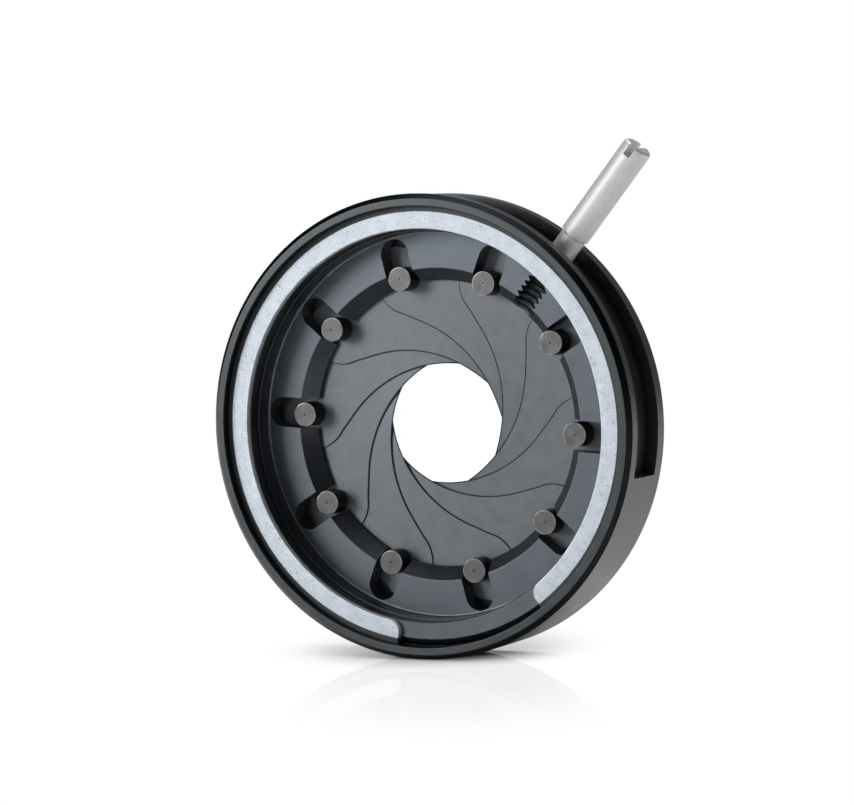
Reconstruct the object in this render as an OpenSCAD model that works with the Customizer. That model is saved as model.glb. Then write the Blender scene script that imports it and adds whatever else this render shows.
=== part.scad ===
// Iris diaphragm with ten leaves, a slotted drive ring and a radial lever.
//
// The optical axis runs along Y and the front faces -Y, so the iris stands
// upright. The origin is on the optical axis, at the back face of the housing.
// Every piece is drawn lying down, with its height measured from the back face,
// and stand_up() turns it upright at the end. Angles run anticlockwise as seen
// from the front, from the +X direction.
//
// How it works: each leaf turns on a pivot pin in the housing floor. Its drive
// pin stands in a radial slot of the drive ring. Turning the lever turns the
// ring, and the slots swing all ten leaves over the clear opening together.

/* [Housing] */
// Outer diameter of the housing
body_d = 44; // [40:1:56]
// Thickness of the housing from back face to front rim
body_t = 8.3; // [8:0.1:12]
// Wall thickness beside the bore
wall_t = 1.2; // [1.1:0.1:2]
// Thickness of the floor that carries the leaf pivots
floor_t = 0.8; // [0.6:0.1:1.5]
// Diameter of the clear opening through the floor
clear_d = 26; // [20:1:27]
// Chamfer round the front rim
rim_chamfer = 0.4; // [0.1:0.1:0.6]
// Chamfer round the back edge
back_chamfer = 0.3; // [0.1:0.1:0.6]
// Width of the ledge that the drive ring turns on
ledge_w = 0.4; // [0.3:0.1:0.6]
// Depth of the retaining ring below the front rim
retainer_depth = 0.86; // [0.4:0.02:1.2]
// Depth of the retaining ring's groove in the wall
groove_depth = 0.4; // [0.2:0.05:0.6]
// Free angle past the lever at each end of the lever window
window_margin = 11.3; // [6:0.1:20]
// Height of the wall left between the groove and the lever window
window_land = 0.12; // [0.1:0.02:0.4]
// Corner radius of the lever window
window_corner = 0.5; // [0.2:0.1:1]

/* [Leaves] */
// Number of leaves, drive pins and slots
leaf_count = 10; // [10:1:10]
// Thickness of one leaf
leaf_t = 0.05; // [0.03:0.01:0.08]
// Air between one leaf and the next where they come closest
leaf_gap = 0.03; // [0.02:0.01:0.06]
// How far the open leaves stay back from the edge of the clear opening
leaf_setback = 0.1; // [0:0.05:0.5]
// Room between the leaves' outer edge and the chamber wall
leaf_room = 0.7; // [0.3:0.1:1]
// Arc from the pivot pin to the drive pin, about the leaf's own centre
leaf_arc = 135.3; // [132:0.1:138]
// How far the drive pin lies outside the pivot pin's radius
drive_offset = 0.4; // [0:0.1:0.8]
// How far the leaf's round tip stays back from the inner edge
tip_setback = 0.2; // [0:0.05:0.4]
// Arc before the drive pin over which the inner edge runs out to the tip
tip_lead = 10; // [6:1:14]

/* [Travel] */
// Diameter of the opening in the drawn position
drawn_opening = 11.44; // [8:0.01:16]
// Diameter of the smallest opening
smallest_opening = 1.84; // [1:0.01:4]
// Diameter of the opening at which the screw form of the leaves is true
true_opening = 2.7; // [2:0.1:4]
// Swing that is left in the leaves at full opening
open_swing = 0.5; // [0:0.1:2]
// Swing of each leaf for each degree that the drive ring turns
turn_ratio = 0.4955; // [0.48:0.0005:0.51]

/* [Pins] */
// Diameter of a drive pin
drive_pin_d = 2.36; // [2:0.02:2.5]
// How far the drive pins stand proud of the ring's plate
pin_proud = 0.07; // [0:0.01:0.3]
// Diameter of a pivot pin
pivot_pin_d = 1.2; // [1:0.1:1.6]
// Diameter of the spigot by which a pin is riveted in its leaf
spigot_d = 0.8; // [0.6:0.1:1]
// How far the pivot pins end short of the back face
pin_short = 0.1; // [0:0.05:0.3]

/* [Drive ring] */
// Depth of the ring's plate below the front rim
plate_depth = 4.67; // [4.4:0.01:5]
// How far the ring's inner edge stays back from the clear opening
ring_setback = 0.75; // [0.5:0.05:1]
// Width of the chamfer round the ring's inner edge
bevel_w = 1.2; // [0.6:0.1:1.5]
// Depth of that chamfer
bevel_h = 1.5; // [0.6:0.1:1.6]
// Plate left between the slots and the ring's raised rim
slot_land = 0.17; // [0.1:0.01:0.5]
// Sideways play of a drive pin in its slot, each way
slot_play = 0.28; // [0.26:0.01:0.32]
// Lag of the slots behind the drive pins at rest, in degrees
slot_lag = 0.4; // [0.3:0.05:0.5]

/* [Clamping rings] */
// Thickness of the spacer ring
spacer_t = 1.3; // [1:0.1:1.6]
// Width of the spacer ring
spacer_w = 2.15; // [1.8:0.05:2.5]
// Thickness of the retaining ring
retainer_t = 0.6; // [0.5:0.05:0.8]
// Width of the retaining ring
retainer_w = 2.45; // [2:0.05:2.8]
// Middle of the retaining ring's gap
retainer_gap_at = -76; // [-90:1:-60]
// Angle of the retaining ring's gap
retainer_gap = 44; // [30:1:60]
// Corner radius at the retaining ring's ends
retainer_corner = 0.6; // [0.3:0.1:1]

/* [Lever] */
// Direction of the lever at rest
lever_angle = 50.3; // [40:0.1:60]
// Depth of the lever's axis below the ring's plate
lever_drop = 0.5; // [0.3:0.05:0.6]
// Diameter of the threaded stud
stud_d = 2; // [1.6:0.1:2.2]
// Length of the stud inside the ring
stud_l = 2.8; // [2:0.1:4]
// Diameter of the neck in the lever window
neck_d = 2.5; // [2.2:0.1:2.6]
// Diameter of the handle
handle_d = 2.85; // [2.5:0.05:3.2]
// Length of the handle
handle_l = 10.4; // [8:0.1:20]
// Distance of the handle from the housing's outer wall
handle_standoff = 1; // [0.5:0.1:3]
// Depth and width of the groove between neck and handle
neck_groove = 0.15; // [0.1:0.01:0.3]
// Radius round the handle's tip
tip_round = 0.4; // [0.2:0.1:0.8]
// Width of the screwdriver slot in the tip
driver_slot_w = 0.7; // [0.4:0.1:1]
// Depth of the screwdriver slot
driver_slot_depth = 1.2; // [0.8:0.1:2]

/* [Fits] */
// Radial clearance of the drive ring in the housing bore
ring_fit = 0.06; // [0.02:0.01:0.1]
// End float of the drive ring between the ledge and the spacer ring
ring_float = 0.03; // [0.02:0.01:0.06]
// Radial clearance of a pivot pin in its hole
pivot_fit = 0.04; // [0.02:0.01:0.1]
// Radial clearance of the spacer ring in the bore
spacer_fit = 0.03; // [0.01:0.01:0.1]
// Clearance of the retaining ring in its groove
groove_fit = 0.05; // [0.02:0.01:0.1]
// Radial clearance of the stud in its hole
stud_fit = 0.02; // [0.01:0.01:0.05]
// Radial clearance of a spigot in its leaf
spigot_fit = 0.01; // [0.01:0.01:0.03]
// Room below and above the stack of leaves
stack_room = 0.05; // [0.03:0.01:0.1]
// Chamfer that takes the burr off the turned edges
edge_break = 0.08; // [0.04:0.01:0.12]

/* [Hidden] */
$fn = 96;
cut = 1;             // how far a cutting shape runs past what it cuts
body_r = body_d / 2;
bore_r = body_r - wall_t;
chamber_r = bore_r - ledge_w;
clear_r = clear_d / 2;
pitch = 360 / leaf_count;

// The leaf in its own frame: its arcs are centred on the origin and its pivot
// is on the +X axis, as when the iris is fully open.
leaf_in = clear_r + leaf_setback;
leaf_out = chamber_r - leaf_room;
pivot_r = (leaf_in + leaf_out) / 2;
heel_r = (leaf_out - leaf_in) / 2;
drive_r = pivot_r + drive_offset;
tip_r = drive_r - leaf_in - tip_setback;
heel_arc = asin(heel_r / pivot_r);
tip_arc = asin(tip_r / drive_r);
drive_at = drive_r * [cos(leaf_arc), sin(leaf_arc)];

// Swing of the leaves that leaves an opening of diameter d
function swing_for(d) = 2 * asin((leaf_in - d / 2) / (2 * pivot_r));
rest_swing = swing_for(drawn_opening);
closed_swing = swing_for(smallest_opening);
open_turn = (rest_swing - open_swing) / turn_ratio;
close_turn = (closed_swing - rest_swing) / turn_ratio;

// Where the optical axis lies in the leaf's frame when the leaf has swung by s
function axis_at(s) = pivot_r * [1 - cos(s), sin(s)];
// Where the drive pin lies when the leaf has swung by s
function drive_dir(s) =
    let (p = drive_at - [pivot_r, 0])
    atan2(p.x * sin(s) + p.y * cos(s), p.x * cos(s) - p.y * sin(s) + pivot_r);

// Each leaf is a shallow screw surface about this point, low at the pivot and
// high at the drive pin, so that every leaf lies on the next one all the way round
screw_at = axis_at(swing_for(true_opening));
function turn(p) =
    let (a = atan2(p.y - screw_at.y, p.x - screw_at.x))
    a < -90 ? a + 360 : a;

// Inner and outer edge of the leaf at the angle a from the pivot
function disc_edge(a, at, centre_r, r, side) =
    centre_r * cos(a - at) + side * sqrt(max(0, pow(r, 2) - pow(centre_r * sin(a - at), 2)));
lead_at = leaf_arc - tip_lead;
function lead_edge(a) =
    let (far = disc_edge(leaf_arc, leaf_arc, drive_r, tip_r, -1))
    leaf_in + (far - leaf_in) * pow((a - lead_at) / tip_lead, 2);
function inner_edge(a) =
    a < 0 ? disc_edge(a, 0, pivot_r, heel_r, -1) :
    a < lead_at ? leaf_in :
    a < leaf_arc ? lead_edge(a) :
    disc_edge(a, leaf_arc, drive_r, tip_r, -1);
function outer_edge(a) =
    a < 0 ? disc_edge(a, 0, pivot_r, heel_r, 1) :
    a < leaf_arc ? leaf_out :
    min(leaf_out, disc_edge(a, leaf_arc, drive_r, tip_r, 1));

// Stations along the leaf: close together round the ends and beside the screw centre
end_steps = 6;
coarse_step = 5;
fine_step = 2.5;
fine_from = 50;
fine_to = 90;
stations = concat(
    [for (i = [0:end_steps - 1]) -heel_arc * cos(90 * i / end_steps)],
    [for (a = [0:coarse_step:fine_from - coarse_step / 2]) a],
    [for (a = [fine_from:fine_step:fine_to - fine_step / 2]) a],
    [for (a = [fine_to:coarse_step:leaf_arc - coarse_step / 2]) a],
    [for (i = [0:end_steps]) leaf_arc + tip_arc * sin(90 * i / end_steps)]
);
// Stations across the leaf, as shares of its width from the inner edge
across = [0, 0.25, 0.6, 1];
rows = len(stations);
cols = len(across);
leaf_grid = [
    for (a = stations, w = across)
    let (r = inner_edge(a) + (outer_edge(a) - inner_edge(a)) * w)
    r * [cos(a), sin(a)]
];

// Whether the point p lies on the leaf
function covers(p) =
    let (a = atan2(p.y, p.x), b = a < -90 ? a + 360 : a)
    b > -heel_arc && b < leaf_arc + tip_arc
    && norm(p) > inner_edge(b) - 0.01 && norm(p) < outer_edge(b) + 0.01;
// The same point in the next leaf's frame, when the leaves have swung by s
function on_next(p, s) =
    let (c = axis_at(s), d = p - c)
    c + [d.x * cos(pitch) - d.y * sin(pitch), d.x * sin(pitch) + d.y * cos(pitch)];
// The smallest turn about the screw centre between two neighbouring leaves that
// touch, over the whole travel, and the climb that keeps them apart by leaf_gap
travel_steps = 8;
climb_step = min([
    for (i = [0:travel_steps], p = leaf_grid)
    let (s = open_swing + (closed_swing - open_swing) * i / travel_steps, q = on_next(p, s))
    if (covers(q)) abs(turn(q) - turn(p))
]);
climb = (leaf_t + leaf_gap) / climb_step;   // rise for each degree about screw_at
turns = [for (p = leaf_grid) turn(p)];
first_turn = min(turns);
stack_h = climb * (max(turns) - first_turn) + leaf_t;

// Heights above the back face
leaf_z = floor_t + stack_room;
ledge_z = leaf_z + stack_h + stack_room;
ring_z = ledge_z + ring_float;
plate_z = body_t - plate_depth;
lever_z = plate_z - lever_drop;
retainer_z = body_t - retainer_depth - retainer_t;
spacer_z = retainer_z - spacer_t;
groove_z = retainer_z - groove_fit;
window_top = groove_z - window_land;
function leaf_bottom(p) = leaf_z + climb * (turn(p) - first_turn);

// Drive ring
slot_w = drive_pin_d + 2 * slot_play;
slot_end = drive_r + slot_w / 2;
rim_in = slot_end + slot_land;
ring_out = bore_r - ring_fit;
ring_top = spacer_z - ring_float;
ring_in = clear_r + ring_setback;

// Angles of leaf i, counted clockwise from 1
function pin_angle(i) = lever_angle + 1.5 * pitch - (i - 1) * pitch;
function pivot_angle(i) = pin_angle(i) - drive_dir(rest_swing);

function tag(i) = i < 10 ? str("0", i) : str(i);
numbers = [for (i = [1:leaf_count]) i];

module stand_up() {
    rotate([90, 0, 0]) children();
}

// A turned length with a broken edge at its far end
module turned(d, h) {
    cylinder(d = d, h = h - edge_break);
    translate([0, 0, h - edge_break])
        cylinder(d1 = d, d2 = d - 2 * edge_break, h = edge_break);
}

// The part of a ring that lies between two angles
module ring_sector(r1, r2, z1, z2, from, to) {
    rotate([0, 0, from])
        rotate_extrude(angle = to - from)
            translate([r1, z1])
                square([r2 - r1, z2 - z1]);
}

// The opening in the wall in which the lever swings: a plain sector, and at
// each end a radial slot as high, with its corner at the top rounded
module lever_window() {
    from = lever_angle - open_turn - window_margin;
    to = lever_angle + close_turn + window_margin;
    inner = (chamber_r + bore_r) / 2;
    outer = body_r + cut;
    end_arc = asin(2 * window_corner / inner);
    ring_sector(inner, outer, ledge_z, window_top, from + end_arc, to - end_arc);
    window_end(from, 0, 3 * window_corner, inner, outer);
    window_end(to, -3 * window_corner, 0, inner, outer);
}

// A slot at one end of the window, from side to side of the radius at the
// angle, with both its upper corners rounded
module window_end(angle, left, right, inner, outer) {
    rotate([0, 0, angle])
        translate([inner, 0, 0])
            rotate([90, 0, 90])
                linear_extrude(outer - inner)
                    hull() {
                        translate([left, ledge_z])
                            square([right - left, window_corner]);
                        for (y = [left + window_corner, right - window_corner])
                            translate([y, window_top - window_corner])
                                circle(r = window_corner);
                    }
}

module housing() {
    color("#43474c")
    difference() {
        rotate_extrude()
            polygon([
                [clear_r, edge_break],
                [clear_r + edge_break, 0],
                [body_r - back_chamfer, 0],
                [body_r, back_chamfer],
                [body_r, body_t - rim_chamfer],
                [body_r - rim_chamfer, body_t],
                [bore_r + edge_break, body_t],
                [bore_r, body_t - edge_break],
                [bore_r, groove_z + retainer_t + 2 * groove_fit],
                [bore_r + groove_depth, groove_z + retainer_t + 2 * groove_fit],
                [bore_r + groove_depth, groove_z],
                [bore_r, groove_z],
                [bore_r, ledge_z],
                [chamber_r, ledge_z],
                [chamber_r, floor_t],
                [clear_r + edge_break, floor_t],
                [clear_r, floor_t - edge_break]
            ]);
        lever_window();
        for (i = numbers)
            rotate([0, 0, pivot_angle(i)])
                translate([pivot_r, 0, -cut])
                    cylinder(d = pivot_pin_d + 2 * pivot_fit, h = floor_t + 2 * cut);
    }
}

// A radial slot, open to the ring's bore and round at its outer end
module pin_slot() {
    inner = ring_in - cut;
    height = plate_z - ring_z + 2 * cut;
    translate([inner, -slot_w / 2, ring_z - cut])
        cube([slot_end - slot_w / 2 - inner, slot_w, height]);
    translate([slot_end - slot_w / 2, 0, ring_z - cut])
        cylinder(d = slot_w, h = height);
}

module drive_ring() {
    color("#4b5056")
    difference() {
        rotate_extrude()
            polygon([
                [ring_in, ring_z],
                [ring_out - edge_break, ring_z],
                [ring_out, ring_z + edge_break],
                [ring_out, ring_top - edge_break],
                [ring_out - edge_break, ring_top],
                [rim_in + edge_break, ring_top],
                [rim_in, ring_top - edge_break],
                [rim_in, plate_z],
                [ring_in + bevel_w, plate_z],
                [ring_in, plate_z - bevel_h]
            ]);
        for (i = numbers)
            rotate([0, 0, pin_angle(i) - slot_lag])
                pin_slot();
        along_lever(0)
            cylinder(d = stud_d + 2 * stud_fit, h = body_r + cut);
    }
}

module spacer_ring() {
    outer = bore_r - spacer_fit;
    inner = outer - spacer_w;
    top = spacer_z + spacer_t;
    color("#565b61")
        rotate_extrude()
            polygon([
                [inner, spacer_z + edge_break],
                [inner + edge_break, spacer_z],
                [outer - edge_break, spacer_z],
                [outer, spacer_z + edge_break],
                [outer, top - edge_break],
                [outer - edge_break, top],
                [inner + edge_break, top],
                [inner, top - edge_break]
            ]);
}

// A flat spring ring, cut open at the bottom, with the inner corner of each end
// rounded. The gap is cut in two mirrored halves from its middle line outwards.
module retaining_ring() {
    outer = bore_r + groove_depth - groove_fit;
    inner = outer - retainer_w;
    arc_steps = 6;
    half_gap = retainer_gap / 2;
    lean = asin(retainer_corner / (inner + retainer_corner));
    centre = (inner + retainer_corner) * [cos(half_gap + lean), sin(half_gap + lean)];
    corner = [
        for (i = [1:arc_steps])
        let (a = half_gap + lean + 180 + (90 - lean) * i / arc_steps)
        centre + retainer_corner * [cos(a), sin(a)]
    ];
    half_cut = concat(
        [[0, -cut]],
        corner,
        [body_d * [cos(half_gap), sin(half_gap)], [body_d, -cut]]
    );
    color("#dfe4ec")
    translate([0, 0, retainer_z])
        linear_extrude(retainer_t)
            rotate(retainer_gap_at)
                difference() {
                    circle(outer);
                    circle(inner);
                    polygon(half_cut);
                    mirror([0, 1]) polygon(half_cut);
                }
}

// Lays a piece drawn along +Z on the lever's axis, starting at a distance from
// the optical axis
module along_lever(start) {
    rotate([0, 0, lever_angle])
        translate([start, 0, lever_z])
            rotate([0, 90, 0])
                children();
}

module lever() {
    neck_l = body_r + handle_standoff - ring_out - neck_groove;
    color("#c9c9c6")
    along_lever(ring_out) {
        rotate([180, 0, 0])
            turned(stud_d, stud_l);
        turned(neck_d, neck_l);
        cylinder(d = neck_d - 2 * neck_groove, h = neck_l + 2 * neck_groove);
        translate([0, 0, neck_l + neck_groove])
            handle();
    }
}

module handle() {
    r = handle_d / 2;
    difference() {
        union() {
            cylinder(r1 = r - edge_break, r2 = r, h = edge_break);
            translate([0, 0, edge_break])
                cylinder(r = r, h = handle_l - tip_round - edge_break);
            cylinder(r = r - tip_round, h = handle_l);
            translate([0, 0, handle_l - tip_round])
                rotate_extrude()
                    translate([r - tip_round, 0])
                        circle(r = tip_round);
        }
        translate([-r - cut, -driver_slot_w / 2, handle_l - driver_slot_depth])
            cube([2 * (r + cut), driver_slot_w, driver_slot_depth + cut]);
    }
}

// Moves a piece from the leaf's own frame to the place of leaf i at rest
module on_leaf(i) {
    rotate([0, 0, pivot_angle(i)])
        translate([pivot_r, 0, 0])
            rotate([0, 0, rest_swing])
                translate([-pivot_r, 0, 0])
                    children();
}

// The leaf as a thin sheet: the grid of points once below and once above,
// joined round its edge
module leaf_sheet() {
    points = concat(
        [for (p = leaf_grid) [p.x, p.y, leaf_bottom(p)]],
        [for (p = leaf_grid) [p.x, p.y, leaf_bottom(p) + leaf_t]]
    );
    upper = rows * cols;
    // the triangles of the cell whose corners are a, b, c and d, in order round it
    function cell(a, b, c, d) = [[a, b, c], [a, c, d]];
    function at(i, j) = i * cols + j;
    below = [for (i = [0:rows - 2], j = [0:cols - 2])
        each cell(at(i, j), at(i, j + 1), at(i + 1, j + 1), at(i + 1, j))];
    above = [for (t = below) [t[2] + upper, t[1] + upper, t[0] + upper]];
    sides = [for (i = [0:rows - 2])
        each concat(
            cell(at(i, 0), at(i + 1, 0), at(i + 1, 0) + upper, at(i, 0) + upper),
            cell(at(i + 1, cols - 1), at(i, cols - 1), at(i, cols - 1) + upper, at(i + 1, cols - 1) + upper)
        )];
    polyhedron(points, concat(below, above, sides));
}

module leaf(i) {
    color("#787e86")
    on_leaf(i)
    difference() {
        leaf_sheet();
        for (p = [[pivot_r, 0], drive_at])
            translate([p.x, p.y, 0])
                cylinder(d = spigot_d + 2 * spigot_fit, h = plate_z);
    }
}

// The pins stand square on the leaf, so each shoulder seats on the highest or
// lowest point of the leaf below it
module drive_pin(i) {
    seat = leaf_bottom(drive_at) + leaf_t + climb * 180 / PI * drive_pin_d / 2 / norm(drive_at - screw_at);
    color("#85827d")
    on_leaf(i)
    translate([drive_at.x, drive_at.y, 0]) {
        translate([0, 0, leaf_bottom(drive_at)])
            cylinder(d = spigot_d, h = plate_z - leaf_bottom(drive_at));
        translate([0, 0, seat])
            turned(drive_pin_d, plate_z + pin_proud - seat);
    }
}

module pivot_pin(i) {
    at = [pivot_r, 0];
    seat = leaf_bottom(at) - climb * 180 / PI * pivot_pin_d / 2 / norm(at - screw_at);
    color("#85827d")
    on_leaf(i)
    translate([at.x, at.y, seat]) {
        cylinder(d = spigot_d, h = leaf_bottom(at) + leaf_t - seat);
        rotate([180, 0, 0])
            turned(pivot_pin_d, seat - pin_short);
    }
}

stand_up() housing();
stand_up() drive_ring();
stand_up() spacer_ring();
stand_up() retaining_ring();
stand_up() lever();
for (i = numbers) {
    stand_up() leaf(i);
    stand_up() drive_pin(i);
    stand_up() pivot_pin(i);
}
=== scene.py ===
"""Looks of an iris diaphragm with ten leaves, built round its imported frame."""
import bmesh
import bpy
import numpy as np
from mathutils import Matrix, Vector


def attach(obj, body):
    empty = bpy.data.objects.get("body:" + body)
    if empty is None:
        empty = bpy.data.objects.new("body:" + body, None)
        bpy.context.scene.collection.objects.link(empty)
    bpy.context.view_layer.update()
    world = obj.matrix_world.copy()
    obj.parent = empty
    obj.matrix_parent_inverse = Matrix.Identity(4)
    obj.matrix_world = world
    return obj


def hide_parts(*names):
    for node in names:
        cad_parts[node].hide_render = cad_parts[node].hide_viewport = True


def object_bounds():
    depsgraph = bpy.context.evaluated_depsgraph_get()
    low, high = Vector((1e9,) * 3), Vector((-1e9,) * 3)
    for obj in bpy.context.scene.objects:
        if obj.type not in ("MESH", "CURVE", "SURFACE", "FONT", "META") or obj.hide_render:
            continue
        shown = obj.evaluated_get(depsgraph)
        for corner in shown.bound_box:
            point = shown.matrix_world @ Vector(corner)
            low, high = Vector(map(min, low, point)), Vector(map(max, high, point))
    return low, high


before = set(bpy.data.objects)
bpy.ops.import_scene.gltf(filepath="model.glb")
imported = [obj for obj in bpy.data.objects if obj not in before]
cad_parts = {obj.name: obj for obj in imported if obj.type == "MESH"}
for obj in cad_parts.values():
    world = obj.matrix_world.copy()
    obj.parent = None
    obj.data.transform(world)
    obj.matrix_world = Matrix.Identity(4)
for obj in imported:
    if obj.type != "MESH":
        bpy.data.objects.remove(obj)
cad_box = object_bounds()

# ---------------------------------------------------------------- Camera
# A long lens a little to the right of the front face and just above the axis.
camera = bpy.data.objects.new("camera", bpy.data.cameras.new("camera"))
bpy.context.scene.collection.objects.link(camera)
camera.data.lens = 126.58
camera.data.clip_start, camera.data.clip_end = 0.01, 5.0
camera.location = (0.128453, -0.259060, 0.018064)
camera.rotation_euler = np.radians((86.8075, 1.6134, 26.7832))
bpy.context.scene.camera = camera
bpy.context.scene.view_settings.view_transform = "Standard"

# ---------------------------------------------------------------- Studio
# A white table under a white surround. One wide soft lamp stands in front on
# the left and one overhead. In reflections the surround is pale in front and
# behind, and dark at the sides.


def add_node(tree, kind, inputs=None, **settings):
    """A shader node of that kind. Inputs that are sockets are linked, and the others are set."""
    made = tree.nodes.new("ShaderNode" + kind)
    for key, value in settings.items():
        setattr(made, key, value)
    for key, value in (inputs or {}).items():
        if isinstance(value, bpy.types.NodeSocket):
            tree.links.new(value, made.inputs[key])
        else:
            made.inputs[key].default_value = value
    return made


def ramp(tree, factor, stops):
    """A colour ramp through (position, colour) stops."""
    made = add_node(tree, "ValToRGB", {"Fac": factor})
    while len(made.color_ramp.elements) < len(stops):
        made.color_ramp.elements.new(0.5)
    for element, (position, colour) in zip(made.color_ramp.elements, stops):
        element.position = position
        element.color = (*colour, 1)
    return made.outputs["Color"]


def maths(tree, operation, *values, **settings):
    """The number that a Math node works out from the values."""
    return add_node(tree, "Math", dict(enumerate(values)), operation=operation, **settings).outputs[0]


def measure(tree, operation, *vectors):
    """The number that a Vector Math node works out from the vectors."""
    return add_node(tree, "VectorMath", dict(enumerate(vectors)), operation=operation).outputs["Value"]


def eased(tree, value, start, end, top=1.0):
    """0 up to the start, the top value from the end on, and a smooth step between them."""
    return add_node(tree, "MapRange", {"Value": value, "From Min": start, "From Max": end, "To Max": top},
                    interpolation_type="SMOOTHSTEP").outputs["Result"]


def between(tree, share, first, second):
    """The shader that goes from the first to the second as the share goes from 0 to 1."""
    return add_node(tree, "MixShader", {0: share, 1: first.outputs[0], 2: second.outputs[0]})


world = bpy.data.worlds.new("studio")
bpy.context.scene.world = world
world.use_nodes = True
tree = world.node_tree
tree.nodes.clear()
glow_way, glow_edge, glow_full, glow_strength = (-0.452, 0.889, 0.075), 0.985, 0.993, 1.9
path = add_node(tree, "LightPath").outputs
way = add_node(tree, "TexCoord").outputs["Generated"]
depth = add_node(tree, "SeparateXYZ", {"Vector": way}).outputs["Y"]
depth = add_node(tree, "MapRange", {"Value": depth, "From Min": -1.0, "From Max": 1.0}).outputs["Result"]
around = ramp(tree, depth, [
    (0.00, (0.90, 0.93, 0.97)), (0.12, (0.80, 0.83, 0.88)), (0.22, (0.10, 0.10, 0.11)),
    (0.34, (0.02, 0.02, 0.022)), (0.75, (0.03, 0.03, 0.033)), (0.90, (0.16, 0.165, 0.17)),
    (0.935, (0.62, 0.64, 0.67)), (1.00, (0.50, 0.52, 0.54))])
behind = eased(tree, measure(tree, "DOT_PRODUCT", way, glow_way), glow_edge, glow_full, glow_strength)
around = add_node(tree, "MixRGB", {"Fac": 1.0, "Color1": around, "Color2": behind}, blend_type="ADD")
mirrored = maths(tree, "MAXIMUM", path["Is Glossy Ray"], path["Is Transmission Ray"])
seen = add_node(tree, "Background", {"Color": (1, 1, 1, 1), "Strength": 1.0})
mirror = add_node(tree, "Background", {"Color": around.outputs[0], "Strength": 0.4})
fill = add_node(tree, "Background", {"Color": (0.92, 0.96, 1.0, 1), "Strength": 0.12})
shown = between(tree, path["Is Camera Ray"], between(tree, mirrored, fill, mirror), seen)
add_node(tree, "OutputWorld", {"Surface": shown.outputs[0]})


def soft_lamp(name, place, aim, size, power, colour=(1, 1, 1)):
    """A square area lamp of the given side in metres, turned from its place towards the aim point."""
    data = bpy.data.lights.new(name, "AREA")
    data.shape, data.size, data.energy, data.color = "SQUARE", size, power, colour
    lamp = bpy.data.objects.new(name, data)
    toward = np.subtract(aim, place)
    lamp.location = place
    lamp.rotation_euler = (np.arctan2(np.hypot(toward[0], toward[1]), -toward[2]), 0,
                           np.arctan2(-toward[0], toward[1]))
    bpy.context.scene.collection.objects.link(lamp)


soft_lamp("key_lamp", (-0.32, -0.42, 0.14), (0, 0, 0), 0.24, 1.4, (0.97, 0.985, 1.0))
soft_lamp("top_lamp", (0.0, 0.06, 0.45), (0, 0, 0), 0.36, 1.2)

# The table: matt white close to the object, where it keeps the soft shadow,
# with a faint reflection in front and plain white further out.
table_reach, table_z = 2.0, cad_box[0][2]
shadow_centre, shadow_full, shadow_end = (-0.004, 0.002, table_z), 0.009, 0.018
side_way, front_way = (0.891, 0.452, 0.0), (0.452, -0.891, 0.0)
pad_ahead, pad_narrow, pad_full, pad_end = 0.012, 2.0, 0.012, 0.044
mirror_share = 0.14
table_mesh = bpy.data.meshes.new("table")
table_mesh.from_pydata(
    [(x * table_reach, y * table_reach, table_z) for x, y in ((-1, -1), (1, -1), (1, 1), (-1, 1))],
    [], [(0, 1, 2, 3)])
table = bpy.data.objects.new("table", table_mesh)
bpy.context.scene.collection.objects.link(table)
white = bpy.data.materials.new("table_white")
white.use_nodes = True
tree = white.node_tree
tree.nodes.clear()
path = add_node(tree, "LightPath").outputs
place = add_node(tree, "TexCoord").outputs["Object"]
near = eased(tree, measure(tree, "DISTANCE", place, shadow_centre), shadow_full, shadow_end)
across = maths(tree, "MULTIPLY", measure(tree, "DOT_PRODUCT", place, side_way), pad_narrow)
ahead = maths(tree, "SUBTRACT", measure(tree, "DOT_PRODUCT", place, front_way), pad_ahead)
pad = add_node(tree, "CombineXYZ", {"X": across, "Y": ahead}).outputs[0]
far = eased(tree, measure(tree, "LENGTH", pad), pad_full, pad_end)
mottle = add_node(tree, "TexNoise", {"Vector": place, "Scale": 900.0, "Detail": 3.0}).outputs["Fac"]
shade = ramp(tree, mottle, [(0.3, (0.90, 0.90, 0.905)), (0.7, (0.93, 0.93, 0.93))])
lifted = add_node(tree, "VectorMath", {0: shade, 1: (1.30, 1.30, 1.30)}, operation="MULTIPLY").outputs[0]
glow = add_node(tree, "Emission", {"Color": (1, 1, 1, 1), "Strength": 1.0})
matt = add_node(tree, "BsdfPrincipled", {"Base Color": shade, "Roughness": 0.28})
bright = add_node(tree, "BsdfDiffuse", {"Color": lifted})
sheen = add_node(tree, "BsdfGlossy", {"Color": (1, 1, 1, 1), "Roughness": 0.04})
viewed = between(tree, mirror_share, between(tree, near, bright, glow), sheen)
surface = between(tree, path["Is Camera Ray"], matt, viewed)
seen = maths(tree, "MAXIMUM", path["Is Camera Ray"], path["Is Glossy Ray"])
seen = maths(tree, "MAXIMUM", seen, path["Is Transmission Ray"])
surface = between(tree, maths(tree, "MULTIPLY", seen, far), surface, glow)
add_node(tree, "OutputMaterial", {"Surface": surface.outputs[0]})
table_mesh.materials.append(white)

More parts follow.
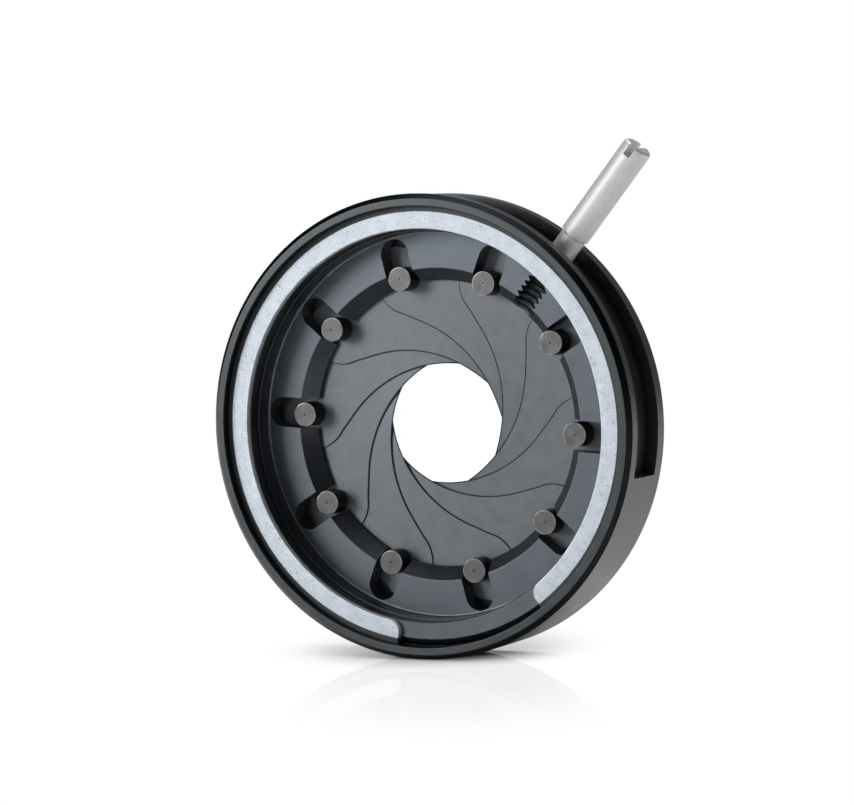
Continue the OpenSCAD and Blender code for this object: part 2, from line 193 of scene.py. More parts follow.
# ---------------------------------------------------------------- Housing
# The barrel that holds everything: turned from aluminium bar and anodised
# satin black, with a milled window for the lever and a drilled floor for the
# ten leaf pivots.
MM = 0.001
barrel_r, barrel_h, rim_chamfer, back_chamfer = 22.0, 8.3, 0.5, 0.3
bore_r, chamber_r, clear_r = barrel_r - 1.2, barrel_r - 1.6, 13.0
floor_t, ledge_h, overcut = 0.8, 1.76, 0.5
retainer_z, retainer_t, groove_fit, groove_depth = barrel_h - 1.46, 0.6, 0.05, 0.4
groove_h, groove_top = retainer_z - groove_fit, retainer_z + retainer_t + groove_fit
groove_r = bore_r + groove_depth
window_top, window_corner, window_margin = groove_h - 0.12, 0.5, 11.3
lever_angle, pitch, leaf_numbers = 50.3, 36.0, np.arange(10)
leaf_in, leaf_out, leaf_arc = clear_r + 0.1, chamber_r - 0.7, 135.3
pivot_r, pivot_pin_r, pivot_fit = (leaf_in + leaf_out) / 2, 0.6, 0.04
drive_r = pivot_r + 0.4
drawn_opening, smallest_opening, open_swing, turn_ratio = 11.44, 1.84, 0.5, 0.4955


def swing_for(opening):
    """How far, in degrees, a leaf has swung in for an opening of that diameter: twice the arc
    sine of what its inner edge stands in from wide open, over twice the pivots' radius."""
    return 2 * np.degrees(np.arcsin((leaf_in - opening / 2) / (2 * pivot_r)))


def direction(angle):
    """The unit vector at an angle in degrees, as x and y in the last place."""
    return np.stack((np.cos(np.radians(angle)), np.sin(np.radians(angle))), -1)


def turned_by(angle):
    """The matrix that turns row vectors anticlockwise about the optical axis."""
    c, s = direction(angle)
    return np.array([(c, s, 0), (-s, c, 0), (0, 0, 1)])


rest_swing = swing_for(drawn_opening)
window_from = lever_angle - (rest_swing - open_swing) / turn_ratio - window_margin
window_to = lever_angle + (swing_for(smallest_opening) - rest_swing) / turn_ratio + window_margin
pin_turns = lever_angle + 1.5 * pitch - pitch * leaf_numbers
drive_at = drive_r * direction(leaf_arc)
pivot_at = np.array([pivot_r, 0.0])
swung = (drive_at - pivot_at) @ turned_by(rest_swing)[:2, :2] + pivot_at
pivot_angles = pin_turns - np.degrees(np.arctan2(swung[1], swung[0]))


def upright(points):
    """Points drawn lying down in millimetres, turned upright in metres: (x, y, z) goes to (x, -z, y)."""
    return np.stack((points[..., 0], -points[..., 2], points[..., 1]), -1) * MM


def rounded(corners, radii, steps=3):
    """A closed outline of the corners, each swapped for an arc that touches both its sides at
    radius / tan(half its angle) from the corner. Returns the points and their mark values: 1 where
    an arc is, which the finish shows as edge wear on most pieces and as a painted highlight on the
    pins. A corner of no radius, or between two sides in line, stays one point."""
    corners = np.asarray(corners, float)
    radii = np.broadcast_to(radii, len(corners)).astype(float)
    ways = [np.roll(corners, shift, 0) - corners for shift in (1, -1)]
    lengths = [np.linalg.norm(way, axis=1) for way in ways]
    back, ahead = [way / length[:, None] for way, length in zip(ways, lengths)]
    half = np.arccos(np.clip((back * ahead).sum(1), -1, 1)) / 2
    curved = (radii > 0) & (half < 1.57)
    half = np.where(curved, half, 0.8)
    reach = np.where(curved, np.minimum(radii / np.tan(half), 0.45 * np.minimum(*lengths)), 0)
    size = reach * np.tan(half)
    middle = np.where(curved[:, None], back + ahead, 1.0)
    middle /= np.linalg.norm(middle, axis=1)[:, None]
    centre = corners + middle * (size / np.sin(half))[:, None]
    share = np.linspace(0, 1, steps + 1)[None, :, None]
    start = (corners + back * reach[:, None] - centre)[:, None]
    end = (corners + ahead * reach[:, None] - centre)[:, None]
    arc = start * (1 - share) + end * share
    arc *= size[:, None, None] / np.maximum(np.linalg.norm(arc, axis=2, keepdims=True), 1e-9)
    keep = np.stack([curved] * steps + [np.ones(len(corners), bool)], 1)
    wear_and_painted_light = np.stack([curved] * (steps + 1), 1).astype(float)
    return (centre[:, None] + arc)[keep], wear_and_painted_light[keep]


def held(outline, wear_and_painted_light, closed=True, hold=0.05):
    """The outline with two more points of mark value 0 on each long side, close to its ends, so
    that the side stays flat where the light falls on it."""
    ahead = np.roll(outline, -1, 0) - outline
    length = np.linalg.norm(ahead, axis=1)
    keep_side = length > 3 * hold
    keep_side[-1] &= closed
    share = (hold / np.maximum(length, 3 * hold))[:, None]
    points = np.stack((outline, outline + ahead * share, outline + ahead * (1 - share)), 1)
    values = np.stack((wear_and_painted_light, 0 * wear_and_painted_light, 0 * wear_and_painted_light), 1)
    keep = np.stack((np.ones(len(wear_and_painted_light), bool), keep_side, keep_side), 1)
    return points[keep], values[keep]


def sweep(outline, start, end, cells):
    """The grid that an outline of (radius, height) pairs sweeps about the optical axis, with one
    row for each angle from start to end, which may differ from point to point of the outline."""
    share = np.linspace(0, 1, cells + 1)[:, None]
    angle = np.radians(start + (end - start) * share + 0 * outline[:, 0])
    radius, height = outline[:, 0] + 0 * angle, outline[:, 1] + 0 * angle
    return np.stack((radius * np.cos(angle), radius * np.sin(angle), height), -1)


def turn_about(profile, centre, cells=64):
    """The grid that an open profile of (radius, height) pairs sweeps about an upright line
    through the centre."""
    grid = sweep(profile, 0.0, 360.0, cells)
    return grid + np.array([centre[0], centre[1], 0.0])


def build(name, patches, finish, smooth=35.0):
    """One closed mesh of several grids. Each patch is a grid of points, their mark values of wear
    and painted light, and whether its last column joins its first. Points that meet are merged,
    and faces turned outwards."""
    points, wear_and_painted_light, faces, count = [], [], [], 0
    for grid, value, wrapped in patches:
        rows, columns = grid.shape[:2]
        i, j = np.arange(rows - 1)[:, None], np.arange(columns if wrapped else columns - 1)[None]
        after = (j + 1) % columns
        here, below = i * columns, (i + 1) * columns
        cells = np.stack((here + j, below + j, below + after, here + after), -1)
        faces.append(cells.reshape(-1, 4) + count)
        points.append(grid.reshape(-1, 3))
        wear_and_painted_light.append(np.broadcast_to(value, (rows, columns)).reshape(-1))
        count += rows * columns
    mesh = bpy.data.meshes.new(name)
    mesh.from_pydata(upright(np.concatenate(points)), [], np.concatenate(faces))
    wear_and_light = mesh.attributes.new("wear_and_painted_light", "FLOAT", "POINT")
    wear_and_light.data.foreach_set("value", np.concatenate(wear_and_painted_light).astype(np.float32))
    work = bmesh.new()
    work.from_mesh(mesh)
    bmesh.ops.remove_doubles(work, verts=work.verts, dist=1.5e-6)
    bmesh.ops.recalc_face_normals(work, faces=work.faces)
    work.to_mesh(mesh)
    work.free()
    mesh.polygons.foreach_set("use_smooth", np.ones(len(mesh.polygons), bool))
    mesh.set_sharp_from_angle(angle=np.radians(smooth))
    mesh.materials.append(finish)
    piece = bpy.data.objects.new(name, mesh)
    bpy.context.scene.collection.objects.link(piece)
    return piece


def carve(piece, cutter, smooth=35.0):
    """Cuts the cutter's shape out of the piece, and removes the cutter."""
    cut = piece.modifiers.new("cut", "BOOLEAN")
    cut.operation, cut.solver, cut.object = "DIFFERENCE", "EXACT", cutter
    carved = bpy.data.meshes.new_from_object(piece.evaluated_get(bpy.context.evaluated_depsgraph_get()))
    piece.modifiers.clear()
    piece.data = carved
    carved.name = piece.name
    bpy.data.objects.remove(cutter)
    carved.polygons.foreach_set("use_smooth", np.ones(len(carved.polygons), bool))
    carved.set_sharp_from_angle(angle=np.radians(smooth))


def tinted(tree, share, colour, other):
    """The colour that goes to the other one as the share goes from 0 to 1."""
    return add_node(tree, "Mix", {0: share, 6: colour, 7: (*other, 1)}, data_type="RGBA").outputs[2]


def metal(name, dark, light, wear_and_light, rough, metallic, cloud=400.0, grain=9000.0, turned=0.0,
          pits=0.0, bump=0.25, edge=1.0, even=False, spun=False):
    """A metal finish. Colour drifts between dark and light with a coarse and a fine noise. Where
    the attribute's mark value is 1 the mark colour shows, in patches unless even is true: edge
    wear on most pieces, a painted highlight on the pins' edges and the lever's neck, and painted
    shade along the leaves' inner edges. Where the value is -1 the colour is painted deep black
    shade, for the shade in hollows and the dark reflections on chamfers. turned adds fine rings
    about the optical axis, or by the spin value if spun, and pits adds small dark specks."""
    # The first colour is painted shade: near black, blended in by negative mark values.
    shade_black, speck_grey = (0.008, 0.009, 0.011), (0.22, 0.24, 0.27)
    made = bpy.data.materials.new(name)
    made.use_nodes = True
    tree = made.node_tree
    shader = tree.nodes["Principled BSDF"]
    place = add_node(tree, "TexCoord").outputs["Object"]
    broad = add_node(tree, "TexNoise", {"Vector": place, "Scale": cloud, "Detail": 4.0}).outputs["Fac"]
    fine = add_node(tree, "TexNoise", {"Vector": place, "Scale": grain, "Detail": 2.0}).outputs["Fac"]
    height = fine
    if turned:
        if spun:
            along = add_node(tree, "Attribute", attribute_name="spin").outputs["Fac"]
        else:
            parts = add_node(tree, "SeparateXYZ", {"Vector": place}).outputs
            flat = add_node(tree, "CombineXYZ", {"X": parts["X"], "Y": parts["Z"]}).outputs[0]
            along = maths(tree, "ADD", parts["Y"], measure(tree, "LENGTH", flat))
        rings = add_node(tree, "TexNoise", {"W": along, "Scale": 26000.0, "Detail": 2.0},
                         noise_dimensions="1D").outputs["Fac"]
        height = add_node(tree, "Mix", {0: turned, 2: fine, 3: rings}, data_type="FLOAT").outputs[0]
    blend = maths(tree, "MULTIPLY_ADD", height, 0.5, maths(tree, "MULTIPLY_ADD", broad, 0.55, -0.05))
    colour = ramp(tree, blend, [(0.32, dark), (0.68, light)])
    rough_now = add_node(tree, "MapRange", {
        "Value": blend, "From Min": 0.25, "From Max": 0.75,
        "To Min": rough - 0.06, "To Max": rough + 0.07}).outputs["Result"]
    if pits:
        speck = add_node(tree, "TexNoise", {"Vector": place, "Scale": 5200.0, "Detail": 1.0}).outputs["Fac"]
        speck = add_node(tree, "MapRange", {"Value": speck, "From Min": 0.66, "From Max": 0.74})
        colour = tinted(tree, maths(tree, "MULTIPLY", speck.outputs[0], pits), colour, speck_grey)
        height = maths(tree, "SUBTRACT", height, speck.outputs[0])
    wear_and_painted_light = add_node(tree, "Attribute", attribute_name="wear_and_painted_light").outputs["Fac"]
    patch = add_node(tree, "MapRange", {
        "Value": broad, "From Min": 0.40, "From Max": 0.62,
        "To Min": edge if even else 0.15 * edge, "To Max": edge}).outputs["Result"]
    # Positive mark values blend in the mark colour. Negative ones blend in the painted shade.
    colour = tinted(tree, maths(tree, "MULTIPLY", wear_and_painted_light, patch, use_clamp=True), colour, wear_and_light)
    colour = tinted(tree, maths(tree, "MULTIPLY", wear_and_painted_light, -1.0, use_clamp=True), colour, shade_black)
    relief = add_node(tree, "Bump", {"Height": height, "Strength": bump, "Distance": 2e-5})
    for key, value in (("Base Color", colour), ("Roughness", rough_now), ("Normal", relief.outputs[0])):
        tree.links.new(value, shader.inputs[key])
    shader.inputs["Metallic"].default_value = metallic
    return made


housing_black = metal(
    "housing_black", (0.070, 0.077, 0.080), (0.098, 0.106, 0.110), (0.16, 0.17, 0.18),
    rough=0.36, metallic=0.85, turned=0.6)
rear, rear_wear_and_shade = rounded(
    [(barrel_r, ledge_h), (barrel_r, back_chamfer), (barrel_r - back_chamfer, 0), (clear_r, 0),
     (clear_r, floor_t), (chamber_r, floor_t), (chamber_r, ledge_h), (bore_r, ledge_h)],
    [0, 0.05, 0.05, 0.08, 0.08, 0.12, 0.04, 0])
front, front_wear_and_shade = rounded(
    [(bore_r, window_top), (bore_r, groove_h), (groove_r, groove_h), (groove_r, groove_top),
     (bore_r, groove_top), (bore_r, barrel_h), (barrel_r - rim_chamfer, barrel_h),
     (barrel_r, barrel_h - rim_chamfer), (barrel_r, window_top)],
    [0, 0.02, 0.04, 0.04, 0.04, 0.08, 0.04, 0.04, 0])
corner_arc = np.degrees(window_corner / barrel_r)
arc_rise = np.sin(np.radians(np.linspace(0, 90, 8)))
wall_h = np.concatenate(([ledge_h, 4.0], window_top - window_corner + window_corner * arc_rise))


def window_inset(height):
    """How far, in degrees, the window's rounded top corner stands in from its end at a height:
    nothing below the corner, then one minus the cosine of the arc so far."""
    rise = np.clip((height - window_top + window_corner) / window_corner, 0, 1)
    return corner_arc * (1 - np.sqrt(1 - rise ** 2))


def wall_rows(radius, heights):
    """Outline points one above another at that radius."""
    return np.stack((np.full(len(heights), radius), heights), 1)


def jamb(end, side):
    """The end face of the window: straight up from the ledge, then round the top corner."""
    radius = np.array([bore_r, barrel_r])
    angle = end + side * window_inset(wall_h)[:, None] + 0 * radius
    height = wall_h[:, None, None] + 0 * angle[..., None]
    return np.concatenate((radius[:, None] * direction(angle), height), -1)


# Painted shade as negative mark values: deep black on the front chamfer, the groove and the bore's front
# edge, and lighter shade on the front face, the window's ledge and top, its inner wall and one jamb. The
# other jamb gets a painted highlight.
deep_shade, face_shade, mouth_shade, wall_shade, jamb_light_and_shade = -1, -0.35, -0.8, -0.6, (-0.2, 0.3)
rear, rear_wear_and_shade = held(rear, rear_wear_and_shade, False)
front, front_wear_and_shade = held(front, front_wear_and_shade, False)
for outline, wear_and_painted_light in ((rear, rear_wear_and_shade), (front, front_wear_and_shade)):
    radius, height = outline.T
    chamfered = radius + height > barrel_r + barrel_h - rim_chamfer - 0.01
    grooved = (radius < groove_r + 0.01) & (height > groove_h - 0.01)
    wear_and_painted_light[[0, -1]] = np.where(radius[[0, -1]] < barrel_r, mouth_shade, 0.0)
    wear_and_painted_light[(radius < bore_r + 0.1) & (height > barrel_h - 0.1)] = deep_shade
    wear_and_painted_light[height > barrel_h - 0.005] = face_shade
    wear_and_painted_light[chamfered & (height < barrel_h - 0.02) & (radius < barrel_r - 0.01)] = deep_shade
    wear_and_painted_light[grooved & (height < barrel_h - 0.01)] = deep_shade
wall_inner, wall_outer = wall_rows(bore_r, wall_h[1:-1]), wall_rows(barrel_r, wall_h[-2:0:-1])
closed_ring = np.concatenate((rear, wall_inner, front, wall_outer))
closed_wear_and_shade = np.concatenate((rear_wear_and_shade, np.full(len(wall_inner), wall_shade),
                              front_wear_and_shade, np.zeros(len(wall_outer))))
inset = window_inset(closed_ring[:, 1])
housing = build("housing_barrel", [
    (sweep(closed_ring, window_to - inset, window_from + 360 + inset, 250), closed_wear_and_shade, True),
    (sweep(rear, window_from, window_to, 110), rear_wear_and_shade, True),
    (sweep(front, window_from + corner_arc, window_to - corner_arc, 110), front_wear_and_shade, True),
    (jamb(window_to, -1), jamb_light_and_shade[0], False),
    (jamb(window_from, 1), jamb_light_and_shade[1], False)], housing_black)
hole_r = pivot_pin_r + pivot_fit
drill = np.array([(0, -overcut), (hole_r, -overcut), (hole_r, floor_t + overcut), (0, floor_t + overcut)])
drills = [(turn_about(drill, at, 40), 0.0, False) for at in pivot_r * direction(pivot_angles)]
carve(housing, build("drill", drills, housing_black))
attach(housing, "body")
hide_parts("housing")

# ---------------------------------------------------------------- Drive ring
# The black ring that the lever turns. Ten milled radial slots drive the
# leaves, its bore has a turned bevel, and the tapped hole for the lever runs
# just under the plate's face and breaks through it.
drive_pin_r, slot_play, slot_lag = 1.18, 0.28, 0.4
slot_w = 2 * (drive_pin_r + slot_play)
slot_end = drive_r + slot_w / 2
spacer_t, end_float, plate_depth, lever_depth = 1.3, 0.03, 4.67, 0.5
spacer_z = retainer_z - spacer_t
ring_z, plate_z, ring_top = ledge_h + end_float, barrel_h - plate_depth, spacer_z - end_float
ring_in, rim_in, ring_out = clear_r + 0.75, slot_end + 0.17, bore_r - 0.06
bevel_w, bevel_h = 1.2, 1.5
lever_z, thread_pitch, tap_r, thread_depth = plate_z - lever_depth, 0.6, 1.33, 0.34
# Painted shade as negative mark values: the bore's bevel, the rim above the plate, the outer side seen
# through the window, the milled slots' walls and the tapped hole are darkened to stand in for the shade in
# them.
bevel_shade, rim_shade, side_shade, slot_shade, tap_shade = -0.3, -0.6, -0.3, -0.9, -0.15


def stadium(width, inner, outer, angles, heights):
    """Grids round an upright slot that is square at the inner radius and a half circle at the
    outer, one for each angle, closed by a point at the middle of each end."""
    end = outer - width / 2
    arc = width / 2 * direction(np.linspace(-90, 90, 17)) + (end, 0)
    x, y = np.concatenate(([(inner, -width / 2)], arc, [(inner, width / 2)])).T
    share = np.array([0, 1, 1, 0])[:, None]
    middle = (inner + end) / 2
    grid = np.stack((middle + (x - middle) * share, y * share,
                     np.repeat(heights, 2)[:, None] + 0 * x * share), -1)
    return [(grid @ turned_by(angle), slot_shade, True) for angle in angles]


def along_lever(distance, radius, wrap_turn):
    """Points about the lever's axis: distance from the optical axis, radius, and the turn round
    the axis from the upright direction, in whole turns."""
    turn = 2 * np.pi * wrap_turn
    distance, radius = distance + 0 * turn, radius + 0 * distance
    local = np.stack((distance, radius * np.sin(turn), lever_z + radius * np.cos(turn)), -1)
    return local @ turned_by(lever_angle)


def threaded_bar(distance, crest):
    """The closed grid of a threaded bar on the lever's axis. Its radius is the crest less the
    depth of a V thread, which is 0 on the crest and full in the root, with short flats on both."""
    distance, turn = distance[:, None], np.linspace(0, 1, 41)[None]
    phase = np.mod(distance / thread_pitch - turn, 1)
    depth = thread_depth * np.clip(np.abs(2 * phase - 1) * 1.4 - 0.2, 0, 1)
    bar = along_lever(distance, crest - depth, turn)
    ends = along_lever(distance[[0, -1]], 0.0 * turn, turn)
    return np.concatenate((ends[:1], bar, ends[1:]))


ring_black = metal(
    "ring_black", (0.088, 0.098, 0.111), (0.121, 0.134, 0.150), (0.17, 0.18, 0.19),
    rough=0.40, metallic=0.80, turned=0.35, edge=0.7)
outline, outline_wear_and_light = held(*rounded(
    [(ring_in, ring_z), (ring_out, ring_z), (ring_out, ring_top), (rim_in, ring_top),
     (rim_in, plate_z), (ring_in + bevel_w, plate_z), (ring_in, plate_z - bevel_h)],
    [0.04, 0.08, 0.08, 0.08, 0.15, 0.05, 0.05]))
outline_wear_and_light[(outline[:, 0] < ring_in + bevel_w - 0.02) & (outline_wear_and_light == 0)] = bevel_shade
outline_wear_and_light[outline[:, 1] > plate_z + 0.2] = rim_shade
outline_wear_and_light[outline[:, 0] > ring_out - 0.04] = side_shade
drive_ring = build("slotted_ring", [(sweep(outline, 0.0, 360.0, 360), outline_wear_and_light, True)], ring_black)
slots = stadium(slot_w, ring_in - overcut, slot_end, pin_turns - slot_lag,
                [ring_z - overcut, plate_z + overcut])
carve(drive_ring, build("slot_mill", slots, ring_black))
tap = threaded_bar(np.linspace(ring_in - 0.75, ring_out + 0.76, 256), tap_r)
carve(drive_ring, build("tap", [(tap, tap_shade, False)], ring_black), 30)
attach(drive_ring, "ring")
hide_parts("drive_ring")

# ---------------------------------------------------------------- Spacer ring
# A plain turned ring of black anodised aluminium that keeps the drive ring on
# its ledge. Its outer front edge is chamfered.
spacer_out, spacer_w, shoulder_w, shoulder_h = bore_r - 0.03, 2.15, 0.57, 0.5
spacer_in, shoulder_z = spacer_out - spacer_w, retainer_z - shoulder_h
spacer_side_shade = -0.4
spacer_black = metal(
    "spacer_black", (0.090, 0.097, 0.105), (0.125, 0.134, 0.144), (0.17, 0.18, 0.19),
    rough=0.38, metallic=0.85, turned=0.6, edge=0.4)
outline, outline_wear_and_light = held(*rounded(
    [(spacer_in, spacer_z), (spacer_out, spacer_z), (spacer_out, shoulder_z),
     (spacer_out - shoulder_w, retainer_z), (spacer_in, retainer_z)], 0.08))
# Painted shade: the outer front chamfer is deep black, standing in for the groove's shadow, and the inner
# and outer sides are darker.
outline_wear_and_light[outline.sum(1) > spacer_out + shoulder_z - 0.02] = deep_shade
outline_wear_and_light[(outline[:, 0] < spacer_in + 0.09) | (outline[:, 0] > spacer_out - 0.01)] = spacer_side_shade
spacer = build("spacer", [(sweep(outline, 0.0, 360.0, 256), outline_wear_and_light, True)], spacer_black)
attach(spacer, "body")
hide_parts("spacer_ring")

# ---------------------------------------------------------------- Retaining ring
# The flat spring ring that snaps into the wall's groove and holds it all,
# stamped from steel with both ends rounded at their inner corner. It is plated
# a matt bluish white, and its outer edge is painted near black as shade where it runs into the groove.
retainer_out, retainer_w, gap_shade_r = groove_r - groove_fit, 2.45, 20.3
retainer_in, retainer_top = retainer_out - retainer_w, retainer_z + retainer_t
gap_middle, gap_half, end_round, end_soft = -76.0, 22.0, 1.2, (1 / 24, 1 / 6)
# Painted shade value for the ring's outer band.
gap_shade = -0.95
retainer_steel = metal(
    "retainer_steel", (0.60, 0.66, 0.73), (0.84, 0.89, 0.95), (0.93, 0.96, 0.99),
    rough=0.50, metallic=0.25, cloud=900.0, grain=7000.0, pits=0.6, bump=0.9, edge=0.9)
outline, outline_wear_and_light = held(*rounded(
    [(retainer_in, retainer_z), (retainer_out, retainer_z), (retainer_out, retainer_top),
     (retainer_in, retainer_top)], 0.07))
last = np.flatnonzero((outline[:, 0] > retainer_out - 0.2) & (outline[:, 1] > retainer_top - 0.01))[-1]
outline = np.insert(outline, last + 1, wall_rows([gap_shade_r + 0.03, gap_shade_r], [retainer_top] * 2), axis=0)
outline_wear_and_light = np.insert(outline_wear_and_light, last + 1, [0, 0])
# Painted shade: outside the given radius the ring is near black, standing in for the shade in the gap where
# it runs into the groove.
outline_wear_and_light[outline[:, 0] > gap_shade_r + 0.02] = gap_shade
reach = retainer_in + end_round
lean = np.degrees(np.arcsin(end_round / reach))
near = lean * (1 - np.cos(np.radians(np.linspace(0, 90, 13))))
near = np.concatenate(([0.0, 0.0, 0.15], near[1:], [lean + 0.3]))
span = 360 - 2 * gap_half
between_ends = np.linspace(lean + 0.3, span - lean - 0.3, 240)[1:-1]
station = np.concatenate((near, between_ends, span - near[::-1]))
from_end = np.minimum(station, span - station)
tilt = np.radians(np.clip(lean - from_end, 0, None))
corner = reach * np.cos(tilt) - np.sqrt(np.clip(end_round ** 2 - (reach * np.sin(tilt)) ** 2, 0, None))
inner_at = np.where(from_end < lean, corner, retainer_in)
inner_side = outline[:, 0] < (retainer_in + retainer_out) / 2
radius = outline[:, 0] + np.where(inner_side, (inner_at - retainer_in)[:, None], 0)
section = np.stack((radius, outline[:, 1] + 0 * radius), -1)
middle = section.mean(1, keepdims=True)
shrink = (from_end == 0)[:, None, None] * np.array(end_soft)
shrink[[0, -1]] = 1.0
section = middle + (section - middle) * (1 - shrink)
way = direction(gap_middle + gap_half + station)[:, None]
grid = np.concatenate((section[..., :1] * way, section[..., 1:]), -1)
retainer = build("snap_ring", [(grid, outline_wear_and_light, True)], retainer_steel)
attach(retainer, "body")
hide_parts("retaining_ring")

# ---------------------------------------------------------------- Lever
# Turned from one bar and nickel plated satin. Its threaded stud screws into
# the drive ring, the neck passes through the window, and the handle has a
# groove at its foot and a screwdriver slot across its round tip.
neck_r, waist_r, handle_r, tip_round = 1.25, 1.10, 1.425, 0.4
handle_length, waist_length, saw_depth, saw_half = 10.4, 0.15, 1.2, (0.35, 2.0)
stud_from, stud_lead, lead_drop, stud_fit = 18.5, 0.12, 0.10, 0.02
neck_from, handle_from = ring_out, barrel_r + 1.0
neck_to, handle_to = handle_from - waist_length, handle_from + handle_length
lever_nickel = metal(
    "lever_nickel", (0.70, 0.695, 0.68), (0.86, 0.855, 0.84), (0.98, 0.97, 0.96),
    rough=0.52, metallic=0.40, cloud=500.0, grain=9000.0, pits=0.2, bump=0.10)
outline, outline_wear_and_light = held(*rounded(
    [(0.0, neck_from), (neck_r, neck_from), (neck_r, neck_to), (waist_r, neck_to), (waist_r, handle_from),
     (handle_r, handle_from), (handle_r, handle_to), (0.0, handle_to)],
    [0, 0.06, 0.08, 0.03, 0.03, 0.08, tip_round, 0], steps=5), False)
# Painted highlight: the whole neck takes the near-white mark colour, standing in for the bright reflections
# on it.
outline_wear_and_light[outline[:, 1] < neck_to + 0.05] = 1
neck = along_lever(outline[:, 1:], outline[:, :1], np.linspace(0, 1, 89)[None])
far = np.linspace(stud_from, neck_from + 0.1, 110)
taper = np.clip((far - stud_from) / stud_lead, 0, 1)[:, None]
stud = threaded_bar(far, tap_r - stud_fit - lead_drop * (1 - taper))
lever = build("lever_bar", [(neck, outline_wear_and_light[:, None], False), (stud, 0.0, False)], lever_nickel)
loop = np.array([(-1, -1), (1, -1), (1, 1), (-1, 1)]) * saw_half
depth = np.repeat([handle_to - saw_depth, handle_to + overcut], 2)[:, None, None]
blade = np.concatenate((depth + 0 * loop[:, :1], loop * np.array([0, 1, 1, 0])[:, None, None]), -1)
blade = (blade + (0, 0, lever_z)) @ turned_by(lever_angle)
carve(lever, build("slot_saw", [(blade, 0.0, True)], lever_nickel))
bevel = lever.modifiers.new("edges", "BEVEL")
bevel.width, bevel.segments, bevel.limit_method = 0.05 * MM, 2, "ANGLE"
bevel.angle_limit = np.radians(60)
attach(lever, "ring")
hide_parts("lever")

# ---------------------------------------------------------------- Leaves
# Ten thin sheets of spring steel, blackened to a matt blue grey, with painted shade along
# their inner edges where each steps down onto the next. Each one is a shallow screw surface,
# low at its pivot and high at its drive pin, so that every leaf lies on the next all the way round.
leaf_z, leaf_t, tip_lead, screw_opening = floor_t + 0.05, 0.05, 10.0, 2.7
heel_r, tip_r = (leaf_out - leaf_in) / 2, drive_r - leaf_in - 0.2
heel_arc, tip_arc = np.degrees(np.arcsin((heel_r / pivot_r, tip_r / drive_r)))
screw_at = pivot_at - pivot_r * direction(-swing_for(screw_opening))
climb, first_turn = 0.00333308, -53.591


def disc_edge(angle, at, centre_r, disc_r, side):
    """Radius at an angle of the near (-1) or far (1) side of a disc centred at the radius
    centre_r: centre_r cos(angle - at) plus or minus the root of what is left of disc_r squared."""
    off = np.radians(angle - at)
    left = np.clip(disc_r ** 2 - (centre_r * np.sin(off)) ** 2, 0, None)
    return centre_r * np.cos(off) + side * np.sqrt(left)


def leaf_edges(angle):
    """Inner and outer radius of the leaf in its own frame. The inner edge runs out to the tip on
    a parabola over the lead before the drive pin."""
    share = np.clip((angle - leaf_arc + tip_lead) / tip_lead, 0, 1)
    lead = leaf_in + (drive_r - tip_r - leaf_in) * share ** 2
    parts = [angle < 0, angle >= leaf_arc]
    heel_in, heel_out = [disc_edge(angle, 0, pivot_r, heel_r, side) for side in (-1, 1)]
    tip_in, tip_out = [disc_edge(angle, leaf_arc, drive_r, tip_r, side) for side in (-1, 1)]
    inner = np.select(parts, [heel_in, tip_in], lead)
    outer = np.select(parts, [heel_out, np.minimum(leaf_out, tip_out)], leaf_out)
    return inner, outer


def leaf_height(x, y):
    """Height of the leaf's under face: it climbs in step with the angle in degrees about the
    screw's centre, from leaf_z at the first turn, which is the leaf's lowest place."""
    turn = np.degrees(np.arctan2(y - screw_at[1], x - screw_at[0]))
    return leaf_z + climb * (np.where(turn < -90, turn + 360, turn) - first_turn)


def on_leaf(points, angle):
    """Points moved from the leaf's own frame to the leaf at that pivot angle, at rest."""
    pivot = (*pivot_at, 0)
    return ((points - pivot) @ turned_by(rest_swing) + pivot) @ turned_by(angle)


def numbered(number):
    """Two digits for a leaf and its pins, counted from 01."""
    return "%02d" % (number + 1)


# The near-black mark colour is painted shade for the leaves' inner edges.
leaf_steel = metal(
    "leaf_steel", (0.113, 0.122, 0.133), (0.155, 0.167, 0.180), (0.012, 0.012, 0.014),
    rough=0.46, metallic=0.75, cloud=700.0, grain=12000.0, bump=0.35, even=True)
ends = np.linspace(0, 90, 13)
along = np.concatenate((-heel_arc * np.cos(np.radians(ends)), np.linspace(0, leaf_arc, 136)[1:-1],
                        leaf_arc + tip_arc * np.sin(np.radians(ends))))[:, None]
inner, outer = leaf_edges(along)
lip = np.minimum([0.0, 0.08, 0.14, 0.22], 0.3 * (outer - inner))
share = np.linspace(0, 1, 12)[1:]
across = np.concatenate((inner + lip, inner + lip[:, -1:] + (outer - inner - lip[:, -1:]) * share), 1)
x, y = np.moveaxis(across[..., None] * direction(along), -1, 0)
under = leaf_height(x, y)
sheet = np.concatenate((np.stack((x, y, under + leaf_t), -1), np.stack((x, y, under), -1)[:, ::-1]), 1)
# Painted shade: the inner edge and the next points in, on the top and under face, take the near-black mark
# colour, standing in for the shade where each leaf steps down onto the next.
dark = np.concatenate(([1.0, 1.0], np.zeros(2 + len(share))))
dark = np.concatenate((dark, dark[::-1]))
for number, angle in zip(leaf_numbers, pivot_angles):
    leaf = build("thin_leaf_" + numbered(number), [(on_leaf(sheet, angle), dark, True)], leaf_steel, 50)
    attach(leaf, "blade_" + numbered(number))
    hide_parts("leaf_" + numbered(number))

# ---------------------------------------------------------------- Pins
# Turned steel pins riveted in the leaves, oiled brown. The drive pins have
# a broken edge, faint facing marks and a small centre mark. The pivot
# pins turn in the holes of the floor.
pin_proud, spigot_r, mark_r, mark_depth, pin_short, rivet_room = 0.07, 0.39, 0.14, 0.04, 0.1, 0.004
pin_top, pin_side_shade, mark_shade = plate_z + pin_proud, -0.85, -0.7
pin_steel = metal(
    "pin_steel", (0.088, 0.085, 0.084), (0.134, 0.129, 0.127), (0.40, 0.39, 0.38),
    rough=0.36, metallic=0.85, cloud=1500.0, grain=9000.0, turned=0.7, bump=0.35, spun=True)


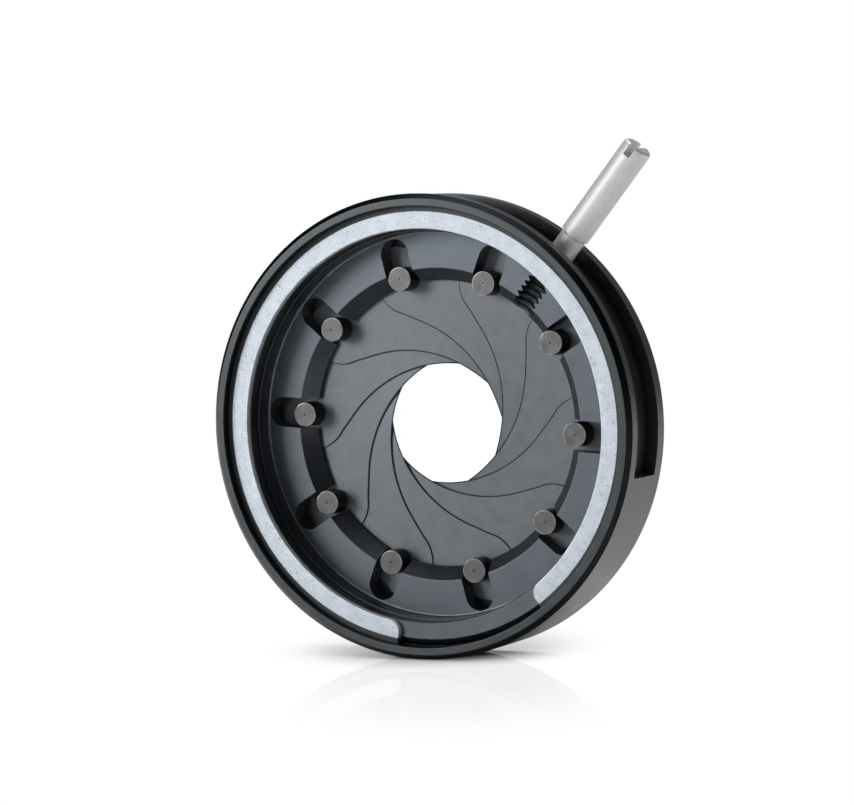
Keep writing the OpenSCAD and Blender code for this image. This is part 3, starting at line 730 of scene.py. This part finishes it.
def leaf_rise(place, radius):
    """How much a leaf climbs from a place to the side of a pin of that radius."""
    return climb * np.degrees(radius / np.hypot(*(place - screw_at)))


drive_foot, pivot_foot = leaf_height(*drive_at) + rivet_room, leaf_height(*pivot_at) + leaf_t - rivet_room
drive_seat = leaf_height(*drive_at) + leaf_t + leaf_rise(drive_at, drive_pin_r)
pivot_seat = leaf_height(*pivot_at) - leaf_rise(pivot_at, pivot_pin_r)
tall, tall_light_and_shade = held(*rounded(
    [(0, drive_foot), (spigot_r, drive_foot), (spigot_r, drive_seat), (drive_pin_r, drive_seat),
     (drive_pin_r, pin_top), (mark_r, pin_top), (0, pin_top - mark_depth)],
    [0, 0.02, 0, 0.03, 0.06, 0.03, 0]), False)
# Painted shade on the drive pins' sides and in their centre mark. The rounded edges of both kinds of pin
# take the lighter mark colour as a painted highlight.
tall_light_and_shade[(tall[:, 0] > drive_pin_r - 0.01) & (tall_light_and_shade == 0)] = pin_side_shade
tall_light_and_shade[tall[:, 0] < mark_r] = mark_shade
short, short_highlight = held(*rounded(
    [(0, pin_short), (pivot_pin_r, pin_short), (pivot_pin_r, pivot_seat), (spigot_r, pivot_seat),
     (spigot_r, pivot_foot), (0, pivot_foot)],
    [0, 0.07, 0.02, 0, 0.02, 0]), False)


def pin(name, profile, wear_and_painted_light, place, angle):
    """A turned pin at its place on a leaf. Its spin value is the distance from its own axis."""
    piece = build(name, [(on_leaf(turn_about(profile, place), angle), wear_and_painted_light, False)], pin_steel)
    axis = upright(on_leaf(np.array([(*place, 0.0)]), angle))
    spots = np.empty(len(piece.data.vertices) * 3, np.float32)
    piece.data.vertices.foreach_get("co", spots)
    across, _, rise = (spots.reshape(-1, 3) - axis).T
    spin = piece.data.attributes.new("spin", "FLOAT", "POINT")
    spin.data.foreach_set("value", np.hypot(across, rise))
    return piece


for number, angle in zip(leaf_numbers, pivot_angles):
    for kind, profile, wear_and_painted_light, place in (("drive_pin_", tall, tall_light_and_shade, drive_at),
                                       ("pivot_pin_", short, short_highlight, pivot_at)):
        turned_pin = pin("turned_" + kind + numbered(number), profile, wear_and_painted_light, place, angle)
        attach(turned_pin, "blade_" + numbered(number))
        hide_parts(kind + numbered(number))
